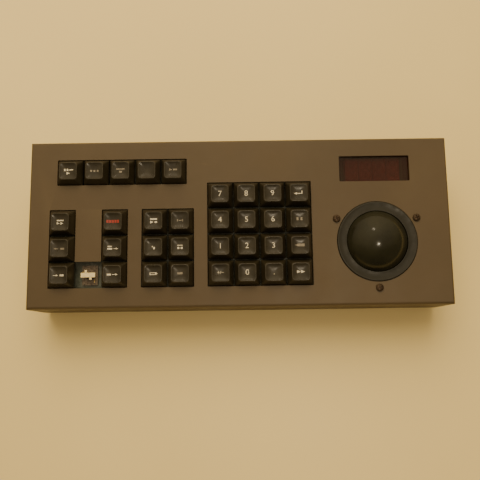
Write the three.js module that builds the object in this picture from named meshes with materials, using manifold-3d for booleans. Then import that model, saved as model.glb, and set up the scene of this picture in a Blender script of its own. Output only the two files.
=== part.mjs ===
// Desktop control panel: a low wedge-shaped sheet-metal console with banks of square keys,
// a small red display window and a two-inch trackball.
//
// Row frame, in millimetres: +X to the operator's right, +Y to the back, +Z up, z = 0 on the desk.
// The origin is under the middle of the bounding box. Everything on the sloping panel is drawn in the
// panel frame, whose origin is the middle of the panel's outer face: +Y up the slope, +Z out of the face.

import * as THREE from "three";
import { mergeVertices } from "three/addons/utils/BufferGeometryUtils.js";
import Module from "manifold-3d";

// ---------------------------------------------------------------- driving dimensions

const GAP = 0.3; // kept between pieces that touch

const PANEL_WIDTH = 308;
const PANEL_DEPTH = 123; // measured along the slope
const SLOPE = THREE.MathUtils.degToRad(4.5);
const SHEET = 1.5; // thickness of the cover and the tray
const BEND = 2.2; // outer bend radius of the cover's edges
const FRONT_HEIGHT = 40; // cover's front wall, up to the panel
const FOOT_HEIGHT = 4;
const FOOT_RADIUS = 6.5;
const FOOT_INSET = 17;
const TRAY_FLANGE = 11; // height of the tray's turned-up edges

const SOCKET_PROUD = 6.5; // how far the rear data socket stands out of the back wall
const SOCKET_X = -92;
const SOCKET_Z = 25;
const JACKSCREW_SPACING = 25;

const PITCH = 19.05; // key spacing
const CAP_BASE = 18.3;
const CAP_TOP = 12.8;
const CAP_RISE = 6; // cap top above the panel
const SKIRT_DROP = 2.2; // cap skirt below the panel
const CAP_WALL = 1.3;
const KEY_TRAVEL = 3.5;
const HOUSING = { width: 12.4, depth: 15.4, top: -6.2, bottom: -14 };
const STEM = { width: 5, depth: 3, bottom: -7.6 };
const SLIDER_TOP = -1;
const PLATE = { top: -7.8, thickness: 1.2, left: -147, right: 58, front: -52, back: 52 };
const BOARD = { top: -14.3, thickness: 1.6, front: -56 };

const BALL_RADIUS = 25.4;
const BALL = new THREE.Vector3(100, -15.6, -12.6);
const RING = { outer: 29, innerTop: 22.2, innerBottom: 23.5, top: 0.9 };
const RING_SCREW_CIRCLE = 33.6; // radius
const FRAME_SIZE = 66; // trackball frame's square body
const FLANGE = { size: 78, top: -1.8, thickness: 3 };
const ROLLER_RADIUS = 3;
const ROLLER_DIP = THREE.MathUtils.degToRad(35); // contact points lie this far below the ball's equator
const DISC = { radius: 7, reach: 37, thickness: 1.2 }; // reach is from the ball's centre, along the roller
const IDLER_RADIUS = 4;

const WINDOW = { x: 100, y: 38.4, width: 51.6, height: 19 };
const DIGIT = { count: 4, width: 10.2, height: 17.6, top: -5.5, depth: 6 };

// Key banks: the middle of each bank and its rows from the back to the front. null is no key, and "slider"
// is a switch whose cap is missing.
const KEY_BANKS = [
  { x: -86, y: 38.15, rows: [["mode_1", "mode_2", "mode_3", "mode_4", "mode_5"]] },
  {
    x: -109.9,
    y: -18.25,
    rows: [
      ["cue_1", null, "step_1"],
      ["cue_2", null, "step_2"],
      ["cue_3", "slider", "step_3"],
    ],
  },
  {
    x: -52.2,
    y: -18.25,
    rows: [
      ["edit_1", "edit_2"],
      ["edit_3", "edit_4"],
      ["edit_5", "edit_6"],
    ],
  },
  {
    x: 14.75,
    y: -8.72,
    rows: [
      ["7", "8", "9", "enter"],
      ["4", "5", "6", "hold"],
      ["1", "2", "3", "clear"],
      ["sign", "0", "point", "go"],
    ],
  },
];

// ---------------------------------------------------------------- derived places

const CASE_DEPTH = PANEL_DEPTH * Math.cos(SLOPE);
const CASE_FRONT = -(CASE_DEPTH + SOCKET_PROUD) / 2;
const CASE_BACK = CASE_FRONT + CASE_DEPTH;
const CASE_BOTTOM = FOOT_HEIGHT;
const FRONT_TOP = CASE_BOTTOM + FRONT_HEIGHT;
const BACK_TOP = FRONT_TOP + PANEL_DEPTH * Math.sin(SLOPE);
const panelFrame = new THREE.Matrix4()
  .makeTranslation(0, (CASE_FRONT + CASE_BACK) / 2, (FRONT_TOP + BACK_TOP) / 2)
  .multiply(new THREE.Matrix4().makeRotationX(SLOPE));

const ROLLER_REACH = BALL_RADIUS + ROLLER_RADIUS + GAP;
const ROLLER_OFFSET = ROLLER_REACH * Math.cos(ROLLER_DIP);
const ROLLER_Z = BALL.z - ROLLER_REACH * Math.sin(ROLLER_DIP);
const IDLER_REACH = BALL_RADIUS + IDLER_RADIUS + GAP;
const IDLER_OFFSET = (IDLER_REACH * Math.cos(ROLLER_DIP)) / Math.SQRT2;
const IDLER = new THREE.Vector3(
  BALL.x + IDLER_OFFSET,
  BALL.y - IDLER_OFFSET,
  BALL.z - IDLER_REACH * Math.sin(ROLLER_DIP),
);

function keyPlaces() {
  const places = [];
  for (const bank of KEY_BANKS) {
    const middleRow = (bank.rows.length - 1) / 2;
    bank.rows.forEach((row, r) => {
      const middleColumn = (row.length - 1) / 2;
      row.forEach((name, c) => {
        if (name === null) return;
        places.push({
          name,
          x: bank.x + (c - middleColumn) * PITCH,
          y: bank.y + (middleRow - r) * PITCH,
        });
      });
    });
  }
  return places;
}
const KEYS = keyPlaces();

// ---------------------------------------------------------------- solid helpers

const wasm = await Module();
wasm.setup();

function solid(geometry) {
  const bare = geometry.index ? geometry.toNonIndexed() : geometry.clone();
  bare.deleteAttribute("normal");
  bare.deleteAttribute("uv");
  const merged = mergeVertices(bare, 1e-4);
  return new wasm.Manifold(
    new wasm.Mesh({
      numProp: 3,
      vertProperties: merged.attributes.position.array,
      triVerts: new Uint32Array(merged.index.array),
    }),
  );
}

function geometryOf(manifold) {
  const { vertProperties, triVerts } = manifold.getMesh();
  const geometry = new THREE.BufferGeometry();
  geometry.setAttribute("position", new THREE.BufferAttribute(vertProperties, 3));
  geometry.setIndex(new THREE.BufferAttribute(triVerts, 1));
  return geometry;
}

function join(...geometries) {
  return geometryOf(geometries.map(solid).reduce((all, next) => all.add(next)));
}

function cut(geometry, ...tools) {
  return geometryOf(tools.map(solid).reduce((left, tool) => left.subtract(tool), solid(geometry)));
}

function common(a, b) {
  return geometryOf(solid(a).intersect(solid(b)));
}

// A box between two corners.
function block(x0, x1, y0, y1, z0, z1) {
  const box = new THREE.BoxGeometry(x1 - x0, y1 - y0, z1 - z0);
  return box.translate((x0 + x1) / 2, (y0 + y1) / 2, (z0 + z1) / 2);
}

// A block given by its middle in x and y, its size, and its bottom and top.
function pad(x, y, width, depth, z0, z1) {
  return block(x - width / 2, x + width / 2, y - depth / 2, y + depth / 2, z0, z1);
}

// A solid of revolution about Z from [radius, z] pairs that start and end on the axis or close on themselves.
function turned(profile, segments = 32) {
  const points = profile.map(([r, z]) => new THREE.Vector2(r, z));
  return new THREE.LatheGeometry(points, segments).rotateX(Math.PI / 2);
}

// An upright round bar.
function rod(x, y, radius, z0, z1, segments = 16) {
  const profile = [
    [0, z0],
    [radius, z0],
    [radius, z1],
    [0, z1],
  ];
  return turned(profile, segments).translate(x, y, 0);
}

// A shape with its corners rounded: corners are [x, y, radius], anticlockwise.
function roundedShape(corners, segments = 5) {
  const shape = new THREE.Shape();
  corners.forEach(([x, y, radius], i) => {
    const corner = new THREE.Vector2(x, y);
    const before = corners[(i + corners.length - 1) % corners.length];
    const after = corners[(i + 1) % corners.length];
    const back = new THREE.Vector2(before[0] - x, before[1] - y).normalize();
    const ahead = new THREE.Vector2(after[0] - x, after[1] - y).normalize();
    const half = Math.acos(back.dot(ahead)) / 2;
    const reach = radius / Math.tan(half);
    const start = corner.clone().addScaledVector(back, reach);
    const centre = corner
      .clone()
      .addScaledVector(back.clone().add(ahead).normalize(), radius / Math.sin(half));
    const first = Math.atan2(start.y - centre.y, start.x - centre.x);
    const sweep = Math.PI - 2 * half;
    const steps = radius > 0 ? segments : 0;
    for (let k = 0; k <= steps; k++) {
      const angle = steps ? first + (sweep * k) / steps : 0;
      const px = steps ? centre.x + radius * Math.cos(angle) : x;
      const py = steps ? centre.y + radius * Math.sin(angle) : y;
      if (i === 0 && k === 0) shape.moveTo(px, py);
      else shape.lineTo(px, py);
    }
  });
  return shape;
}

// A shape drawn in two given directions and extruded along the third, from the given start.
function extruded(shape, length, right, up, start) {
  const geometry = new THREE.ExtrudeGeometry(shape, { depth: length, bevelEnabled: false });
  const along = new THREE.Vector3().crossVectors(right, up);
  const basis = new THREE.Matrix4().makeBasis(right, up, along).setPosition(start);
  return geometry.applyMatrix4(basis);
}

const X = new THREE.Vector3(1, 0, 0);
const Y = new THREE.Vector3(0, 1, 0);
const Z = new THREE.Vector3(0, 0, 1);

// ---------------------------------------------------------------- materials

function material(color, roughness, metalness = 0) {
  return new THREE.MeshStandardMaterial({ color, roughness, metalness });
}
const PAINT = material(0x5b4f42, 0.5, 0.1);
const TRAY_PAINT = material(0x4c443b, 0.55, 0.1);
const RUBBER = material(0x1b1a19, 0.9);
const CAP_PLASTIC = material(0x17140f, 0.25);
const STEM_PLASTIC = material(0xd8c9a2, 0.5);
const HOUSING_PLASTIC = material(0x2a2018, 0.6);
const BALL_RESIN = material(0x0d0b09, 0.12);
const RING_PLASTIC = material(0x35332e, 0.5);
const FRAME_PLASTIC = material(0x1f1f20, 0.6);
const STEEL = material(0x8d8f92, 0.35, 0.9);
const BLACK_STEEL = material(0x2a251f, 0.4, 0.8);
const RED_FILTER = material(0x4a0f0c, 0.15);
const LED_FACE = material(0x5a2a26, 0.4);
const CIRCUIT_BOARD = material(0x1f4a34, 0.5);
const CONNECTOR_METAL = material(0xb9bbbd, 0.3, 0.9);
const RIBBON_GREY = material(0x8c8d90, 0.7);

// ---------------------------------------------------------------- case

// The wedge's solid shape with its sides moved in by inset and its bottom at the given height.
function wedge(inset, bottom) {
  const radius = Math.max(BEND - inset, 0.4);
  const drop = inset / Math.cos(SLOPE); // the panel's sheet, measured straight down
  const rise = (y) => FRONT_TOP + (y - CASE_FRONT) * Math.tan(SLOPE) - drop;
  const y0 = CASE_FRONT + inset;
  const y1 = CASE_BACK - inset;
  const side = roundedShape([
    [y0, bottom, 0],
    [y1, bottom, 0],
    [y1, rise(y1), radius],
    [y0, rise(y0), radius],
  ]);
  const half = PANEL_WIDTH / 2 - inset;
  const long = extruded(side, 2 * half, Y, Z, new THREE.Vector3(-half, 0, 0));
  const across = roundedShape([
    [-half, -2 * FRONT_HEIGHT, 0],
    [half, -2 * FRONT_HEIGHT, 0],
    [half, -inset, radius],
    [-half, -inset, radius],
  ]);
  const deep = extruded(across, 2 * PANEL_DEPTH, X, Z, new THREE.Vector3(0, PANEL_DEPTH, 0));
  return common(long, deep.applyMatrix4(panelFrame));
}

// The openings for the key banks, each as wide as its keys: one block for each row of adjoining keys.
function keyOpenings() {
  const tools = [];
  for (const { x, y } of KEYS) {
    tools.push(pad(x, y, PITCH + 0.02, PITCH + 0.02, -3 * SHEET, 3 * SHEET));
  }
  return join(...tools);
}

function ringScrewPlaces() {
  return [30, 150, 270].map((degrees) => {
    const angle = THREE.MathUtils.degToRad(degrees);
    return [BALL.x + RING_SCREW_CIRCLE * Math.cos(angle), BALL.y + RING_SCREW_CIRCLE * Math.sin(angle)];
  });
}

function topCover() {
  const shell = cut(wedge(0, CASE_BOTTOM), wedge(SHEET, CASE_BOTTOM - 10));
  const panelTools = [
    keyOpenings(),
    pad(WINDOW.x, WINDOW.y, WINDOW.width, WINDOW.height, -3 * SHEET, 3 * SHEET),
    rod(BALL.x, BALL.y, RING.outer + GAP, -3 * SHEET, 3 * SHEET, 48),
    ...ringScrewPlaces().map(([x, y]) => rod(x, y, 1.9, -3 * SHEET, 3 * SHEET, 12)),
  ].map((tool) => tool.applyMatrix4(panelFrame));
  const socketHole = block(
    SOCKET_X - 10,
    SOCKET_X + 10,
    CASE_BACK - 3 * SHEET,
    CASE_BACK + SHEET,
    SOCKET_Z - 5.8,
    SOCKET_Z + 5.8,
  );
  const jackHoles = [-1, 1].map((side) =>
    rod(0, 0, 1.9, -3 * SHEET, 3 * SHEET, 12)
      .rotateX(Math.PI / 2)
      .translate(SOCKET_X + (side * JACKSCREW_SPACING) / 2, CASE_BACK, SOCKET_Z),
  );
  return cut(shell, ...panelTools, socketHole, ...jackHoles);
}

// The pan that closes the cover from below, with its four edges turned up.
function baseTray() {
  const inset = SHEET + GAP;
  const half = PANEL_WIDTH / 2 - inset;
  const y0 = CASE_FRONT + inset;
  const y1 = CASE_BACK - inset;
  const pan = block(-half, half, y0, y1, CASE_BOTTOM, CASE_BOTTOM + TRAY_FLANGE);
  const hollow = block(
    -half + SHEET,
    half - SHEET,
    y0 + SHEET,
    y1 - SHEET,
    CASE_BOTTOM + SHEET,
    CASE_BOTTOM + 2 * TRAY_FLANGE,
  );
  return cut(pan, hollow);
}

function foot() {
  const profile = [
    [0, 0],
    [FOOT_RADIUS - 1, 0],
    [FOOT_RADIUS, 1],
    [FOOT_RADIUS, FOOT_HEIGHT],
    [0, FOOT_HEIGHT],
  ];
  return turned(profile, 20);
}

// ---------------------------------------------------------------- keys

// A hollow block with cut corners that tapers from its base to its top.
function taper(baseSize, topSize, baseCorner, topCorner, z0, z1) {
  const ring = (size, corner, z) => {
    const h = size / 2;
    const c = h - corner;
    return [
      [h, -c, z],
      [h, c, z],
      [c, h, z],
      [-c, h, z],
      [-h, c, z],
      [-h, -c, z],
      [-c, -h, z],
      [c, -h, z],
    ];
  };
  const points = [...ring(baseSize, baseCorner, z0), ...ring(topSize, topCorner, z1)];
  const faces = [];
  for (let i = 0; i < 8; i++) {
    const j = (i + 1) % 8;
    faces.push([i, j, j + 8], [i, j + 8, i + 8]);
  }
  for (let i = 1; i < 7; i++) {
    faces.push([0, i + 1, i], [8, i + 8, i + 9]);
  }
  const geometry = new THREE.BufferGeometry();
  geometry.setAttribute("position", new THREE.Float32BufferAttribute(points.flat(), 3));
  geometry.setIndex(faces.flat());
  return geometry;
}

function keyCap() {
  const outside = taper(CAP_BASE, CAP_TOP, 1.2, 2, -SKIRT_DROP, CAP_RISE);
  const inside = taper(CAP_BASE - 2 * CAP_WALL, CAP_TOP - 2.2, 0.8, 1.4, -SKIRT_DROP - 0.01, CAP_RISE - 1.8);
  const stem = pad(0, 0, STEM.width, STEM.depth, STEM.bottom, CAP_RISE - 1);
  return join(cut(outside, inside), stem);
}

// The moving slider of a switch whose cap is missing: a bar with two lugs on a post.
function bareSlider() {
  const thickness = 1.3;
  const low = SLIDER_TOP - thickness;
  return join(
    pad(0, 0, 10.4, 3.4, low, SLIDER_TOP),
    pad(-1.6, 2.4, 1.6, 2.4, low, SLIDER_TOP),
    pad(1.9, -2.3, 1.6, 2.2, low, SLIDER_TOP),
    pad(0, 0, STEM.width, STEM.depth, STEM.bottom, SLIDER_TOP - 0.5),
  );
}

// The steel plate that holds all the switches, with its switch housings and its spacers.
function switchPlate() {
  const plate = block(
    PLATE.left,
    PLATE.right,
    PLATE.front,
    PLATE.back,
    PLATE.top - PLATE.thickness,
    PLATE.top,
  );
  const { width, depth, bottom, top } = HOUSING;
  const housings = KEYS.map(({ x, y }) => pad(x, y, width, depth, bottom, top));
  const slots = KEYS.map(({ x, y }) => pad(x, y, STEM.width + 1, STEM.depth + 1, STEM.bottom - 5, top + 1));
  const spacers = [
    [PLATE.left + 5, PLATE.back - 6],
    [PLATE.left + 5, PLATE.front + 20],
    [-5, PLATE.back - 6],
    [PLATE.right - 6, PLATE.back - 6],
  ].map(([x, y]) => pad(x, y, 6, 6, PLATE.top - 0.5, -SHEET - GAP));
  return cut(join(plate, ...housings, ...spacers), ...slots);
}

// The circuit board under the switches, with its chips on the underside.
function mainBoard() {
  const low = BOARD.top - BOARD.thickness;
  const board = block(PLATE.left, PLATE.right, BOARD.front, PLATE.back, low, BOARD.top);
  const chips = [
    [-100, 10, 50, 14],
    [-30, 12, 37, 14],
    [20, 10, 20, 8],
    [20, -20, 20, 8],
    [-30, -25, 26, 8],
  ].map(([x, y, width, depth]) => pad(x, y, width, depth, low - 3.8, low + 0.5));
  return join(board, ...chips);
}

// ---------------------------------------------------------------- trackball

function ringScrew() {
  const head = turned(
    [
      [0, 0.3],
      [2.8, 0.3],
      [2.8, 1.2],
      [2.2, 1.7],
      [0, 1.7],
    ],
    20,
  );
  return join(head, rod(0, 0, 1.4, -6.6, 0.6, 12));
}

function trackballRing() {
  const profile = [
    [RING.innerBottom, -SHEET],
    [RING.outer, -SHEET],
    [RING.outer, RING.top - 0.4],
    [RING.outer - 0.4, RING.top],
    [RING.innerTop + 0.5, RING.top - 0.2],
    [RING.innerTop + 0.25, RING.top - 0.5],
    [RING.innerBottom, -SHEET],
  ];
  return turned(profile, 64).translate(BALL.x, BALL.y, 0);
}

// A roller and its encoder disc on one shaft, with the disc towards +Z.
function roller() {
  return turned(
    [
      [0, -21],
      [1.5, -21],
      [1.5, -17],
      [ROLLER_RADIUS, -17],
      [ROLLER_RADIUS, 17],
      [1.5, 17],
      [1.5, DISC.reach - DISC.thickness / 2],
      [DISC.radius, DISC.reach - DISC.thickness / 2],
      [DISC.radius, DISC.reach + DISC.thickness / 2],
      [0, DISC.reach + DISC.thickness / 2],
    ],
    20,
  );
}

// The frame that carries the ball on two rollers and an idler.
function trackballFrame() {
  const half = FRAME_SIZE / 2;
  const body = pad(0, 0, FRAME_SIZE, FRAME_SIZE, -36 - BALL.z, FLANGE.top - 1 - BALL.z);
  const flangeTop = FLANGE.top - BALL.z;
  const flange = pad(0, 0, FLANGE.size, FLANGE.size, flangeTop - FLANGE.thickness, flangeTop);
  const cup = rod(0, 0, 15, -39.6 - BALL.z, -34 - BALL.z, 24);
  const bowl = new THREE.SphereGeometry(BALL_RADIUS + 0.9, 32, 20).rotateX(Math.PI / 2);
  const throat = rod(0, 0, BALL_RADIUS + 0.9, 0, 20, 32);
  const rollerZ = ROLLER_Z - BALL.z;
  const slotX = join(
    turned([[0, -18], [4, -18], [4, 18], [0, 18]], 16),
    turned([[0, -24], [2, -24], [2, half + 1], [0, half + 1]], 16),
  ).rotateY(Math.PI / 2);
  const slotY = slotX.clone().rotateZ(-Math.PI / 2).translate(-ROLLER_OFFSET, 0, rollerZ);
  slotX.translate(0, ROLLER_OFFSET, rollerZ);
  const pocket = join(
    turned([[0, -2.8], [4.9, -2.8], [4.9, 2.8], [0, 2.8]], 20),
    turned([[0, -6], [1.6, -6], [1.6, 6], [0, 6]], 12),
  )
    .applyMatrix4(idlerTurn())
    .translate(IDLER.x - BALL.x, IDLER.y - BALL.y, IDLER.z - BALL.z);
  const screwHoles = ringScrewPlaces().map(([x, y]) =>
    rod(x - BALL.x, y - BALL.y, 1.9, -11 - BALL.z, flangeTop + 1, 12),
  );
  return cut(join(body, flange, cup), bowl, throat, slotX, slotY, pocket, ...screwHoles);
}

// Lays a turned piece's axis along the idler's axle, which is level and square to the line to the ball.
function idlerTurn() {
  const along = new THREE.Vector3(1, 1, 0).normalize();
  return new THREE.Matrix4().makeRotationFromQuaternion(new THREE.Quaternion().setFromUnitVectors(Z, along));
}

function idler() {
  return turned(
    [
      [0, -5.5],
      [1, -5.5],
      [1, -2],
      [IDLER_RADIUS, -2],
      [IDLER_RADIUS, 2],
      [1, 2],
      [1, 5.5],
      [0, 5.5],
    ],
    20,
  );
}

// The L-shaped board hung from the frame's flange, with a slotted light gate over each roller's disc.
function encoderBoard() {
  const right = BALL.x + FRAME_SIZE / 2 + 0.6;
  const front = BALL.y - FRAME_SIZE / 2 - 0.6;
  const low = -9;
  const high = -7.4;
  const gateLow = ROLLER_Z + 2.5;
  const discTop = ROLLER_Z + DISC.radius + 1;
  const discX = BALL.x + DISC.reach;
  const discY = BALL.y - DISC.reach;
  const gateX = cut(
    pad(discX, BALL.y + ROLLER_OFFSET, 6.6, 6, gateLow, low + 0.4),
    pad(discX, BALL.y + ROLLER_OFFSET, 3, 8, gateLow - 1, discTop),
  );
  const gateY = cut(
    pad(BALL.x - ROLLER_OFFSET, discY, 6, 6.6, gateLow, low + 0.4),
    pad(BALL.x - ROLLER_OFFSET, discY, 8, 3, gateLow - 1, discTop),
  );
  const flangeLow = FLANGE.top - FLANGE.thickness - GAP;
  const posts = [
    [right + 2, BALL.y + 12],
    [right + 2, BALL.y - 20],
    [BALL.x - 8, front - 2],
  ].map(([x, y]) => pad(x, y, 4, 4, high - 0.5, flangeLow));
  return join(
    block(right, right + 10, front - 8, BALL.y + ROLLER_OFFSET + 6, low, high),
    block(BALL.x - ROLLER_OFFSET - 10, right + 10, front - 8, front, low, high),
    gateX,
    gateY,
    ...posts,
  );
}

// ---------------------------------------------------------------- display

function ledDigits() {
  const width = DIGIT.count * DIGIT.width;
  const body = pad(WINDOW.x, WINDOW.y, width, DIGIT.height, DIGIT.top - DIGIT.depth, DIGIT.top);
  const grooves = [];
  for (let i = 1; i < DIGIT.count; i++) {
    const x = WINDOW.x - width / 2 + i * DIGIT.width;
    grooves.push(pad(x, WINDOW.y, 0.4, DIGIT.height + 2, DIGIT.top - 0.8, DIGIT.top + 1));
  }
  return cut(body, ...grooves);
}

// The board behind the digits, hung from the panel on four posts.
function displayBoard() {
  const width = WINDOW.width + 18;
  const depth = WINDOW.height + 5;
  const high = DIGIT.top - DIGIT.depth - GAP;
  const posts = [];
  for (const side of [-1, 1]) {
    for (const end of [-1, 1]) {
      const x = WINDOW.x + side * (width / 2 - 2.5);
      const y = WINDOW.y + end * (depth / 2 - 2.5);
      posts.push(pad(x, y, 4, 4, high - 0.5, -SHEET - GAP));
    }
  }
  return join(pad(WINDOW.x, WINDOW.y, width, depth, high - 1.6, high), ...posts);
}

// ---------------------------------------------------------------- rear socket and leads

function dataSocket() {
  const face = CASE_BACK + GAP;
  const dShape = roundedShape([
    [-7.6, -4.2, 2.2],
    [7.6, -4.2, 2.2],
    [8.5, 4.2, 2.2],
    [-8.5, 4.2, 2.2],
  ]);
  const shell = extruded(dShape, SOCKET_PROUD - GAP, X.clone().negate(), Z, new THREE.Vector3(0, face, 0));
  const holes = [];
  for (let i = 0; i < 5; i++) holes.push([(i - 2) * 2.76, 1.4]);
  for (let i = 0; i < 4; i++) holes.push([(i - 1.5) * 2.76, -1.4]);
  const pins = holes.map(([x, z]) => block(x - 0.6, x + 0.6, face + 2, face + 9, z - 0.6, z + 0.6));
  const flange = cut(
    block(-15.4, 15.4, face, face + 1, -6.2, 6.2),
    ...[-1, 1].map((side) => {
      const x = (side * JACKSCREW_SPACING) / 2;
      return block(x - 1.9, x + 1.9, face - 1, face + 2, -1.9, 1.9);
    }),
  );
  const body = block(-9.5, 9.5, CASE_BACK - 12, face + 0.5, -5.3, 5.3);
  return cut(join(flange, shell, body), ...pins).translate(SOCKET_X, 0, SOCKET_Z);
}

function jackscrew() {
  const start = CASE_BACK + 2 * GAP + 1;
  const length = 4.6;
  const hex = new THREE.CylinderGeometry(2.75, 2.75, length, 6).translate(0, start + length / 2, 0);
  const shank = new THREE.CylinderGeometry(1.4, 1.4, 9, 12).translate(0, start - 4.5 + 0.5, 0);
  return join(hex, shank);
}

// Links the rear socket to the underside of the main board.
function dataRibbon() {
  const near = CASE_BACK - 12 - GAP;
  const corner = near - 16;
  const boardLow = new THREE.Vector3(0, 32, BOARD.top - BOARD.thickness - GAP).applyMatrix4(panelFrame);
  const top = boardLow.z - 0.6;
  const shape = roundedShape([
    [corner, SOCKET_Z - 0.5, 2],
    [near, SOCKET_Z - 0.5, 0],
    [near, SOCKET_Z + 0.5, 0],
    [corner + 1, SOCKET_Z + 0.5, 1],
    [corner + 1, top, 0],
    [corner, top, 0],
  ]);
  return extruded(shape, 12, Y, Z, new THREE.Vector3(SOCKET_X - 6, 0, 0));
}

// Links the encoder board to the right-hand edge of the main board.
function trackballRibbon() {
  const start = BALL.x - ROLLER_OFFSET - 10 - GAP;
  const points = [
    [start, -8.7],
    [start - 3.5, -8.7],
    [start - 3.5, -15.6],
    [PLATE.right + GAP, -15.6],
  ];
  const [a, b, c, d] = points;
  const shape = roundedShape([
    [d[0], d[1], 0],
    [c[0] + 1, c[1], 0],
    [b[0] + 1, b[1], 0],
    [a[0], a[1], 0],
    [a[0], a[1] + 1, 0],
    [b[0], b[1] + 1, 0],
    [c[0], c[1] + 1, 0],
    [d[0], d[1] + 1, 0],
  ]);
  return extruded(shape, 6, X, Z, new THREE.Vector3(0, BOARD.front + 6, 0));
}

// ---------------------------------------------------------------- assembly

const console3d = new THREE.Group();
const panel = new THREE.Group();
panel.applyMatrix4(panelFrame);
console3d.add(panel);

function place(group, name, geometry, look, x = 0, y = 0, z = 0) {
  const mesh = new THREE.Mesh(geometry, look);
  mesh.name = name;
  mesh.position.set(x, y, z);
  group.add(mesh);
  return mesh;
}

place(console3d, "top_cover", topCover(), PAINT);
place(console3d, "base_tray", baseTray(), TRAY_PAINT);
for (const [name, sideX, sideY] of [
  ["foot_front_left", -1, -1],
  ["foot_front_right", 1, -1],
  ["foot_back_left", -1, 1],
  ["foot_back_right", 1, 1],
]) {
  const x = sideX * (PANEL_WIDTH / 2 - FOOT_INSET);
  const y = (CASE_FRONT + CASE_BACK) / 2 + sideY * (CASE_DEPTH / 2 - FOOT_INSET);
  place(console3d, name, foot(), RUBBER, x, y);
}

for (const { name, x, y } of KEYS) {
  if (name === "slider") place(panel, "bare_slider", bareSlider(), STEM_PLASTIC, x, y);
  else place(panel, `key_${name}`, keyCap(), CAP_PLASTIC, x, y);
}
place(panel, "switch_plate", switchPlate(), HOUSING_PLASTIC);
place(panel, "main_board", mainBoard(), CIRCUIT_BOARD);

const ball = new THREE.SphereGeometry(BALL_RADIUS, 32, 20);
place(panel, "trackball", ball, BALL_RESIN, BALL.x, BALL.y, BALL.z);
place(panel, "trackball_ring", trackballRing(), RING_PLASTIC);
ringScrewPlaces().forEach(([x, y], i) => {
  place(panel, `ring_screw_${i + 1}`, ringScrew(), BLACK_STEEL, x, y);
});
place(panel, "trackball_frame", trackballFrame(), FRAME_PLASTIC, BALL.x, BALL.y, BALL.z);
const rollerXMesh = place(panel, "roller_x", roller(), STEEL, BALL.x, BALL.y + ROLLER_OFFSET, ROLLER_Z);
rollerXMesh.rotation.y = Math.PI / 2;
const rollerYMesh = place(panel, "roller_y", roller(), STEEL, BALL.x - ROLLER_OFFSET, BALL.y, ROLLER_Z);
rollerYMesh.rotation.x = Math.PI / 2;
const idlerMesh = place(panel, "idler", idler(), STEEL, IDLER.x, IDLER.y, IDLER.z);
idlerMesh.setRotationFromMatrix(idlerTurn());
place(panel, "encoder_board", encoderBoard(), CIRCUIT_BOARD);

const windowSheet = pad(WINDOW.x, WINDOW.y, WINDOW.width + 6, WINDOW.height + 5, -3.8, -SHEET - GAP);
place(panel, "display_window", windowSheet, RED_FILTER);
place(panel, "led_digits", ledDigits(), LED_FACE);
place(panel, "display_board", displayBoard(), CIRCUIT_BOARD);

place(console3d, "data_socket", dataSocket(), CONNECTOR_METAL);
for (const [name, side] of [
  ["jackscrew_left", -1],
  ["jackscrew_right", 1],
]) {
  const x = SOCKET_X + (side * JACKSCREW_SPACING) / 2;
  place(console3d, name, jackscrew(), CONNECTOR_METAL, x, 0, SOCKET_Z);
}
place(console3d, "data_ribbon", dataRibbon(), RIBBON_GREY);
place(panel, "trackball_ribbon", trackballRibbon(), RIBBON_GREY);

export default console3d;
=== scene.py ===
import math

import bmesh
import bpy
from mathutils import Matrix, Vector


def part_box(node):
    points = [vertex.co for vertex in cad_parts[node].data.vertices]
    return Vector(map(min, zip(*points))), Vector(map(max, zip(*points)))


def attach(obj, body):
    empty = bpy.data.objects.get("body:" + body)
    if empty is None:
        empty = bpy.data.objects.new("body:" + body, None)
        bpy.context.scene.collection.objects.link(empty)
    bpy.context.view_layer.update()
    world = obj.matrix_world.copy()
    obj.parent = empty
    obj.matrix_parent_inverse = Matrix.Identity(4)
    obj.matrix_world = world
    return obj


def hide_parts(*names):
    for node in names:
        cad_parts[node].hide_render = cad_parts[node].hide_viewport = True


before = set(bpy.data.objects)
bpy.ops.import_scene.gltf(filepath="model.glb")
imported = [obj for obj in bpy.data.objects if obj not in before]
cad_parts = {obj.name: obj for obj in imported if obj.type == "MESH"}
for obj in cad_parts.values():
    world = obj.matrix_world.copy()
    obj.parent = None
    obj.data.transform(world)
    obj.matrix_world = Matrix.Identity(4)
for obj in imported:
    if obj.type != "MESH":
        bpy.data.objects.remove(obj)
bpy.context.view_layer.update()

# Lengths below are in millimetres. Panel coordinates have their origin at the middle of the sloping
# panel's outer face, +X to the right, +Y up the slope and +Z out of the face.
MM = 0.001
SLOPE = math.radians(4.5)
SHEET = 1.5
BEND = 2.2
GAP = 0.3
PITCH = 19.05
FRONT_WALL = 40
PANEL_DEPTH = 123

cover_low, cover_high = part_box("top_cover")
HALF_WIDTH = cover_high.x / MM
FRONT = cover_low.y / MM
BACK = cover_high.y / MM
BOTTOM = cover_low.z / MM
MIDDLE_TOP = BOTTOM + FRONT_WALL + PANEL_DEPTH * math.sin(SLOPE) / 2
WORLD = Matrix.Identity(4)
PANEL = Matrix.Translation((0, (FRONT + BACK) / 2, MIDDLE_TOP)) @ Matrix.Rotation(SLOPE, 4, "X")

BALL = Vector((100, -15.6, -12.6))
BALL_RADIUS = 25.4
RING_OUTER = 29
RING_SCREW_CIRCLE = 33.6
WINDOW = (100, 38.4, 51.6, 19)
SOCKET = Vector((-92, BACK, 25))


# ------------------------------------------------------------------ materials

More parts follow.
